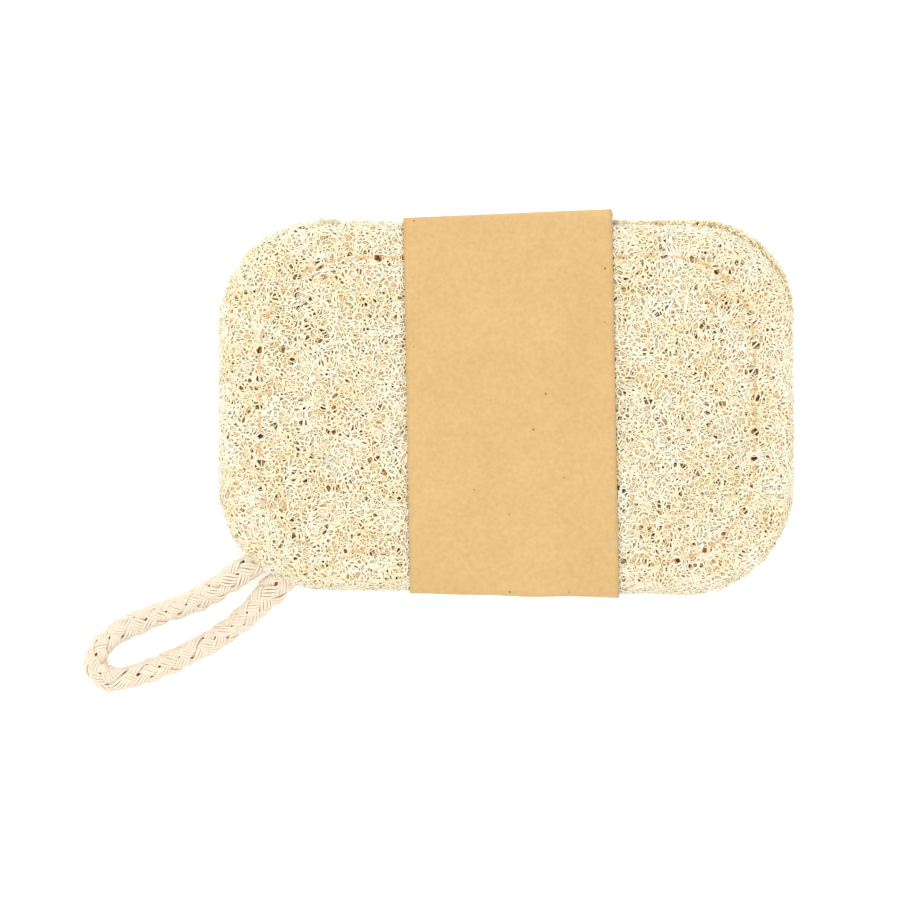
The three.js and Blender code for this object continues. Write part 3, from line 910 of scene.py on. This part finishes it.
def loofah_material(name, colours):
    """Fibres whose colour runs with their depth, partly as painted shade, frayed by a fine noise.
    """
    material, tree, shader = new_material(name, 0.62, 0.35)
    fuzz_stops = [(0.36, (0.45, 0.45, 0.45, 1)), (0.64, (1.75, 1.75, 1.75, 1))]
    fuzz = ramp_colour(tree, noise(tree, 1700.0, 2.0), fuzz_stops)
    frayed = product(tree, attribute_value(tree, "depth"), fuzz)
    share = product(tree, frayed, 1 / DEEPEST)
    stops = [(place, srgb(*colour)) for place, colour in zip(LOOFAH_STOPS, colours)]
    colour = ramp_colour(tree, share, stops)
    patches = noise(tree, 160.0)
    tint_stops = [(0.35, (1, 1, 1, 1)), (0.7, srgb(*LOOFAH_TINT))]
    colour = tinted(tree, colour, patches, tint_stops)
    tree.links.new(colour, shader.inputs["Base Color"])
    add_bump(tree, shader, noise(tree, 5000.0, 2.0), 0.25, 0.0001)
    return material


# The braided cord


def smooth_route(points, per_span=16):
    """A Catmull-Rom curve through points."""
    p = np.array(points, dtype=float)
    p = np.vstack([2 * p[0] - p[1], p, 2 * p[-1] - p[-2]])
    route = []
    for a, b, c, d in zip(p, p[1:], p[2:], p[3:]):
        square, cube = 2 * a - 5 * b + 4 * c - d, 3 * b - a - 3 * c + d
        for t in np.arange(per_span) / per_span:
            route.append(0.5 * (2 * b + (c - a) * t + square * t * t + cube * t**3))
    route.append(p[-2])
    return np.array(route)


def evenly(route, step):
    """Points of an open route at even distances near a step, and its length."""
    lengths = run_along(route)
    places = np.linspace(0, lengths[-1], int(round(lengths[-1] / step)) + 1)
    return points_at(route, lengths, places), lengths[-1]


# The braid: four carriers turn each way, one over and one under, and each is four plies wide
BRAID_PITCH = 18.0
BRAID_CARRIERS = 4
PLIES = 4
PLY_RADIUS = 0.335
PLY_SPACING = 0.56
BRAID_RADIUS = 1.86
BRAID_WAVE = 0.35
BRAID_STEP = 0.42
BRAID_SLACK = 0.17
BRAID_DRIFT = 0.07
SEWN_REACH = 7.0
INSIDE_RADIUS = 1.5


def cord_yarns(material, core_shade_material):
    """The braid's plies, and the yarns inside it that show through its gaps, which are coloured
    dark brown as painted shade.
    """
    rng = np.random.default_rng(5)
    route, length = evenly(smooth_route(CORD_ROUTE), BRAID_STEP)
    first, second = side_vectors(route[None])
    first, second = first[0], second[0]
    along = np.linspace(0, length, len(route))
    lean = math.atan2(2 * math.pi * BRAID_RADIUS, BRAID_PITCH)
    edge_depth, _, _ = edge_near(PAD, route[:, 0], route[:, 1])
    sewn = np.exp(-((np.minimum(edge_depth, 0) / SEWN_REACH) ** 2))
    swell = 1 + 0.035 * np.sin(along / 2.9) + 0.025 * np.sin(along / 1.3 + 1)
    paths, radii = [], []
    for direction in (1, -1):
        for carrier in range(BRAID_CARRIERS):
            start = 2 * math.pi * carrier / BRAID_CARRIERS + rng.normal(0, 0.06)
            slack = BRAID_SLACK * np.sin(along / rng.uniform(1.6, 2.6) + rng.uniform(0, 6))
            drift = BRAID_DRIFT * np.sin(along / rng.uniform(3, 5) + rng.uniform(0, 6))
            for ply in range(PLIES):
                across = (ply - (PLIES - 1) / 2) * PLY_SPACING + rng.normal(0, 0.025)
                turn = 2 * math.pi * (along + across * math.sin(lean)) / BRAID_PITCH
                angle = turn + across * math.cos(lean) / BRAID_RADIUS + start
                angle = direction * (angle + drift)
                advance = BRAID_PITCH / (4 * math.pi * BRAID_RADIUS * math.cos(lean))
                meeting = along + across * advance
                wave = np.cos(2 * math.pi * meeting * BRAID_CARRIERS / BRAID_PITCH)
                angle = angle - direction * 0.13 * across * (1 - wave**2) / BRAID_RADIUS
                crown = 0.1 * (1 - (across / 0.9) ** 2)
                radius = (BRAID_RADIUS + direction * BRAID_WAVE * wave + crown + slack) * swell
                # Where it is sewn in, the cord is pressed wide and flat
                paths.append(
                    route
                    + first * (radius * (1 + 0.24 * sewn) * np.cos(angle))[:, None]
                    + second * (radius * (1 - 0.08 * sewn) * np.sin(angle))[:, None]
                )
                radii.append(PLY_RADIUS * (1 + 0.06 * np.sin(along * 2.3 + rng.uniform(0, 6))))
    points, walls, ends = tubes(np.array(paths), np.array(radii), 5)
    points[:, 2] = np.maximum(points[:, 2], 0.05)
    braid = new_piece("cord_braid", points, as_triangles(walls, ends), material)
    inner = route[None, ::3]
    points, walls, ends = tubes(inner, np.full(inner.shape[:2], INSIDE_RADIUS), 12)
    core = new_piece("cord_core", points, as_triangles(walls, ends), core_shade_material)
    return braid, core, route, length


def cotton_material(name, light, dark):
    material, tree, shader = new_material(name, 0.85, 0.2)
    stops = [(0.3, srgb(*light)), (0.75, srgb(*dark))]
    colour = ramp_colour(tree, noise(tree, 900.0), stops)
    tree.links.new(colour, shader.inputs["Base Color"])
    add_bump(tree, shader, noise(tree, 7000.0, 2.0), 0.3, 0.0001)
    return material


# The card sleeve


def sleeve_path():
    """The card strip's middle line across the pad, from its inner end round to its outer end."""
    half = sum(SLEEVE_HALF) / 2 - CARD / 2
    radius = SLEEVE_FOLD - CARD / 2
    low_inner = CARD * 1.5
    low_outer = CARD / 2
    high = SLEEVE_HEIGHT - CARD / 2
    path = [(y, low_inner) for y in np.linspace(FLAP_INNER_END, half - radius, 16)]

    def fold(centre_y, centre_z, quarter):
        for turn in np.linspace(0, 1, 7)[1:]:
            angle = (quarter + turn) * math.pi / 2
            path.append((centre_y + radius * math.cos(angle), centre_z + radius * math.sin(angle)))

    fold(half - radius, low_inner + radius, 3)
    path.extend((half, z) for z in np.linspace(low_inner + radius, high - radius, 6)[1:])
    fold(half - radius, high - radius, 0)
    path.extend((y, high) for y in np.linspace(half - radius, radius - half, 42)[1:])
    fold(radius - half, high - radius, 1)
    path.extend((-half, z) for z in np.linspace(high - radius, low_outer + radius, 6)[1:])
    fold(radius - half, low_outer + radius, 2)
    path.extend((y, low_outer) for y in np.linspace(radius - half, FLAP_OUTER_END, 24)[1:])
    return np.array(path)


def sleeve_piece(material):
    """The card strip, a little narrower and shifted at its left side, with slight creases."""
    path = sleeve_path()
    tangent = unit(np.gradient(path, axis=0))
    normal = np.stack([tangent[:, 1], -tangent[:, 0]], 1)
    # A little thinner than the solid, so that its two layers on the back don't touch
    thickness = CARD * 0.96
    share = np.linspace(0, 1, SLEEVE_COLUMNS)
    half = sum(SLEEVE_HALF) / 2
    widen = (SLEEVE_HALF[0] + share * (SLEEVE_HALF[1] - SLEEVE_HALF[0])) / half
    shift = SLEEVE_SHIFT[0] + share * (SLEEVE_SHIFT[1] - SLEEVE_SHIFT[0])
    creased = 0.09 * np.sin(9 * share) + 0.07 * np.sin(17 * share + 1)
    across = SLEEVE_LEFT + share * (SLEEVE_RIGHT - SLEEVE_LEFT)
    sheets = []
    for sheet in (path + normal * thickness / 2, path - normal * thickness / 2):
        y = sheet[None, :, 0] * widen[:, None] + shift[:, None]
        y = y + creased[:, None] * smooth_step((-30 - y) / 8)
        z = np.broadcast_to(sheet[None, :, 1], y.shape)
        x = across[:, None] - y * math.tan(SLEEVE_TURN)
        # The card shifts to the right below its upper fold
        x = x + 0.75 * smooth_step((7 - z) / 5) * smooth_step((y - 20) / 15)
        sheets.append(np.stack([x, y, z], -1).reshape(-1, 3))
    points = np.concatenate(sheets)
    outside = np.arange(SLEEVE_COLUMNS * len(path)).reshape(SLEEVE_COLUMNS, len(path))
    inside = outside + outside.size

    def quads(a, b, c, d):
        return np.stack([a, b, c, d], -1).reshape(-1, 4)

    faces = np.concatenate([
        quads(outside[:-1, :-1], outside[:-1, 1:], outside[1:, 1:], outside[1:, :-1]),
        quads(inside[:-1, :-1], inside[1:, :-1], inside[1:, 1:], inside[:-1, 1:]),
        quads(outside[0, :-1], inside[0, :-1], inside[0, 1:], outside[0, 1:]),
        quads(outside[-1, :-1], outside[-1, 1:], inside[-1, 1:], inside[-1, :-1]),
        quads(outside[:-1, 0], outside[1:, 0], inside[1:, 0], inside[:-1, 0]),
        quads(outside[:-1, -1], inside[:-1, -1], inside[1:, -1], outside[1:, -1]),
    ])
    # The fold attribute runs from 0 at the lower fold to 1 at the upper one and sets the card's
    # painted fold shading.
    folded = smooth_step((np.abs(points[:, 1]) - half + 1.1) / 0.5) * np.sign(points[:, 1])
    # The second attribute marks the inner sheet, which the card's material colours darker as
    # painted shade.
    attributes = {"fold": 0.5 + 0.5 * folded, "inner_shade": np.repeat([0.0, 1.0], outside.size)}
    return new_piece("sleeve", points, faces, material, attributes)


def kraft_material():
    """Plain brown card: soft clouds, a mottle of pulp and a few specks, with painted shade on the
    lower fold and the inner sheet and painted light on the upper fold.
    """
    material, tree, shader = new_material("kraft_card", 0.8, 0.25)
    light, dark = (srgb(*colour) for colour in KRAFT)
    clouds = noise(tree, 90.0, 5.0, 0.6)
    colour = ramp_colour(tree, clouds, [(0.35, light), (0.65, dark)])
    pulp = noise(tree, 1000.0, 5.0, 0.75)
    mottle = [(0.38, (0.9, 0.89, 0.86, 1)), (0.6, (1, 1, 1, 1))]
    colour = tinted(tree, colour, pulp, mottle)
    specks = noise(tree, 800.0, 0.0, 0.5)
    spots = [(0.85, (1, 1, 1, 1)), (0.875, (0.6, 0.54, 0.48, 1))]
    colour = tinted(tree, colour, specks, spots)
    # Painted shade on the lower fold and painted light on the upper fold, set by the fold
    # attribute
    fold_shading = [(0.0, (0.95, 0.96, 1, 1)), (0.5, (0.97, 0.97, 0.97, 1)), (1.0, (1, 1, 1, 1))]
    colour = tinted(tree, colour, attribute_value(tree, "fold"), fold_shading)
    # Painted shade: the inner sheet is coloured a darker brown than the card's own.
    inner_shade = attribute_value(tree, "inner_shade")
    colour = mix_colour(tree, "MIX", inner_shade, colour, srgb(*KRAFT_INSIDE_SHADE))
    tree.links.new(colour, shader.inputs["Base Color"])
    add_bump(tree, shader, pulp, 0.12, 0.0002)
    return material


# Threads


def thread_piece(name, layer, material):
    """Two twisted plies that lie between the needle holes and dive into each of them."""
    holes = seam_stitches()
    paths = []
    share = np.linspace(0, 1, 22)
    for start, end in zip(holes, np.roll(holes, -1, axis=0)):
        plan = start + (end - start) * share[:, None]
        dive = np.exp(-((np.minimum(share, 1 - share) / DIVE_SHARE) ** 2))
        rise = THREAD_PROUD - THREAD_RADIUS - DIVE_DEPTH * dive
        paths.append(skin(layer, plan[:, 0], plan[:, 1], rise))
    centre = layer.placed(np.array(paths))
    first, second = side_vectors(centre)
    distance = np.concatenate([
        np.zeros((len(centre), 1)),
        np.cumsum(np.linalg.norm(np.diff(centre, axis=1), axis=2), axis=1),
    ], axis=1)
    plies = []
    for ply in (0, 1):
        turn = 2 * math.pi * distance / THREAD_TWIST + ply * math.pi
        offset = first * np.cos(turn)[..., None] + second * np.sin(turn)[..., None]
        plies.append(centre + offset * THREAD_RADIUS * 0.5)
    paths = np.concatenate(plies)
    points, walls, ends = tubes(paths, np.full(paths.shape[:2], THREAD_RADIUS * 0.62), 5)
    return new_piece(name, points, as_triangles(walls, ends), material)


# The scene


def add_floor():
    mesh = bpy.data.meshes.new("floor")
    corners = [(-1, -1), (1, -1), (1, 1), (-1, 1)]
    points = [(x * FLOOR_HALF, y * FLOOR_HALF, -FLOOR_DROP) for x, y in corners]
    mesh.from_pydata(points, [], [(0, 1, 2, 3)])
    material, _, shader = new_material("floor", 0.9, 0.1)
    shader.inputs["Base Color"].default_value = (0.9, 0.9, 0.9, 1)
    shader.inputs["Emission Color"].default_value = (1, 1, 1, 1)
    shader.inputs["Emission Strength"].default_value = FLOOR_GLOW
    mesh.materials.append(material)
    floor = bpy.data.objects.new("floor", mesh)
    bpy.context.scene.collection.objects.link(floor)


def add_light():
    world = bpy.data.worlds.new("studio")
    world.use_nodes = True
    sky = world.node_tree.nodes["Background"]
    sky.inputs["Strength"].default_value = SKY_STRENGTH
    sky.inputs["Color"].default_value = (1, 1, 1, 1)
    bpy.context.scene.world = world
    data = bpy.data.lights.new("key", "AREA")
    data.shape = "DISK"
    data.size = KEY_WIDTH
    data.energy = KEY_POWER
    light = bpy.data.objects.new("key", data)
    light.location = KEY_PLACE
    light.rotation_euler = KEY_TURN
    bpy.context.scene.collection.objects.link(light)


def ride_and_replace(piece, slot, *nodes):
    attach(piece, BODY)
    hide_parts(*nodes)


def add_cord():
    cotton = cotton_material("cotton", *COTTON)
    # The inner yarns get a dark material as painted shade in the braid's gaps.
    cord_core_shade = cotton_material("cord_core_shade", *CORD_CORE_SHADE)
    braid, core, route, length = cord_yarns(cotton, cord_core_shade)
    ride_and_replace(braid, "cotton_cord", "cord_loop")
    ride_and_replace(core, "cotton_cord", "cord_loop")


def layer_parts(layer):
    """The parts of a layer's four net pieces, from its outermost fibres down."""
    cell = layer.cell
    stitches = seam_stitches()
    needle_holes = (stitches, np.full(len(stitches), NEEDLE_HOLE))
    wide = random_pores(layer.rng, *WIDE_PORES)
    small = random_pores(layer.rng, *SMALL_PORES)
    upper = [needle_holes, wide, small]
    lower = [needle_holes, (wide[0][:DEEP_PORES], wide[1][:DEEP_PORES])]
    net = partial(cell_net, layer)
    fibres = partial(long_fibres, layer)
    top = [
        net(upper, depth=0.02, size=1.06 * cell, radius=0.2, webbed=0),
        fibres(upper, depth=-0.06, spacing=4.2, radius=0.17, length=10.0, stride=0.8 * cell,
               spread=0.6, curl=0.2),
        fibres(upper, depth=-0.01, spacing=2.3, radius=0.165, length=6.0, stride=0.7 * cell,
               spread=0.9, curl=0.8),
        *fringe(layer),
    ]
    if layer.side < 0:
        top.append(rim_fibres(layer))
    second = [
        net(upper, depth=0.16, size=1.1 * cell, radius=0.2, webbed=0.9),
        fibres(upper, depth=0.12, spacing=3.0, radius=0.18, length=8.0, stride=0.8 * cell,
               spread=0.9, curl=0.6),
    ]
    deep = [
        net(lower, depth=0.5, size=1.7 * cell, radius=0.27, webbed=0.3),
        fibres(lower, depth=0.45, spacing=3.5, radius=0.22, length=10.0, stride=1.3,
               spread=0.6, curl=0.0),
    ]
    fine = [
        fibres(upper, depth=0.18, spacing=1.6 * cell, radius=0.11, length=4.0, stride=0.6,
               spread=1.2, curl=0.8),
    ]
    return {"": top, "_fine": fine, "_second": second, "_deep": deep}


def add_layer(layer, thread_name):
    name = layer.name
    material = loofah_material(f"loofah_{name}", LOOFAH_COLOURS[name])
    pieces = [
        net_piece(f"net_{name}{ending}", layer, parts, material)
        for ending, parts in layer_parts(layer).items()
    ]
    pieces.append(core_piece(f"core_{name}", layer, material))
    pieces.append(hole_piece(f"holes_{name}", layer, material))
    for piece in pieces:
        ride_and_replace(piece, f"loofah_{name}", f"loofah_{name}")
    thread = cotton_material(thread_name, *THREAD)
    ride_and_replace(thread_piece(f"seam_{name}", layer, thread), "seam_thread", thread_name)


def main():
    bpy.context.scene.view_settings.view_transform = "Standard"
    add_camera()
    add_cord()
    ride_and_replace(sleeve_piece(kraft_material()), "kraft_card", "card_sleeve")
    # A rim tone below zero colours the layer's edge lighter, as painted light against the shade
    # round the edge.
    front = Layer("front", PAD, side=1, seed=3, cell=1.0, spring=0.65, relief=0.2, rim_tone=-0.05)
    add_layer(front, "needle_thread")
    back = Layer(
        "back", BACK_PAD, side=-1, seed=8, cell=1.4, spring=0.3, relief=0.12, rim_tone=-0.2
    )
    add_layer(back, "bobbin_thread")
    add_floor()
    add_light()


main()
